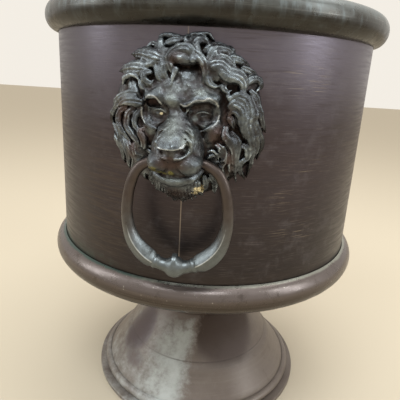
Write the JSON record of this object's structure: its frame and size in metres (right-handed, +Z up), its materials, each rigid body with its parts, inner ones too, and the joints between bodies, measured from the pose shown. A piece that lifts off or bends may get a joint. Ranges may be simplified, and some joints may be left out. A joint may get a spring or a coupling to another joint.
{
  "type": "jardiniere",
  "caption": "Cylindrical metal plant pot with a rolled rim on a flared pedestal foot, with lion masks that hold hanging rings on opposite sides.",
  "frame": {"origin": "centre of the foot's underside, on the floor", "axes": "+Z up the pot's axis; the masks face -Y (front) and +Y (rear)"},
  "size_m": [0.3428, 0.4234, 0.4167],
  "materials": {
    "body_patina": "brown patina over brushed sheet",
    "rim_patina": "grey-green worn patina",
    "foot_patina": "brown patina with pale lime bloom",
    "cast_bronze": "dark cast bronze with rubbed highlights",
    "ring_bronze": "dark bronze with rubbed highlights",
    "fixing_steel": "dull zinc-plated",
    "seal_rubber": "matte black"
  },
  "bodies": {
    "pot": {"rim_roll": "rim_patina", "body_wall": "body_patina", "base_bead": "body_patina", "bottom_pan": "body_patina", "stem_trumpet": "foot_patina", "stem_collar": "foot_patina", "foot_bell": "foot_patina", "foot_bead": "foot_patina", "foot_flange": "foot_patina", "draw_bolt": "fixing_steel", "draw_seal": "seal_rubber", "draw_washer": "fixing_steel", "draw_cup_washer": "fixing_steel", "draw_nut": "fixing_steel", "lion_mask_front": "cast_bronze", "mask_screw_front_upper": "fixing_steel", "mask_washer_front_upper": "fixing_steel", "mask_screw_front_lower": "fixing_steel", "mask_washer_front_lower": "fixing_steel", "lion_mask_rear": "cast_bronze", "mask_screw_rear_upper": "fixing_steel", "mask_washer_rear_upper": "fixing_steel", "mask_screw_rear_lower": "fixing_steel", "mask_washer_rear_lower": "fixing_steel"},
    "ring_front": {"ring_front": "ring_bronze"},
    "ring_rear": {"ring_rear": "ring_bronze"}
  },
  "joints": [
    {"name": "ring_front_swing", "type": "hinge", "parent": "pot", "child": "ring_front", "pos_m": [0, -0.18, 0.29554], "axis": [-1, 0, 0], "range_deg": [-8, 165]},
    {"name": "ring_rear_swing", "type": "hinge", "parent": "pot", "child": "ring_rear", "pos_m": [0, 0.18, 0.29554], "axis": [1, 0, 0], "range_deg": [-8, 165]}
  ]
}
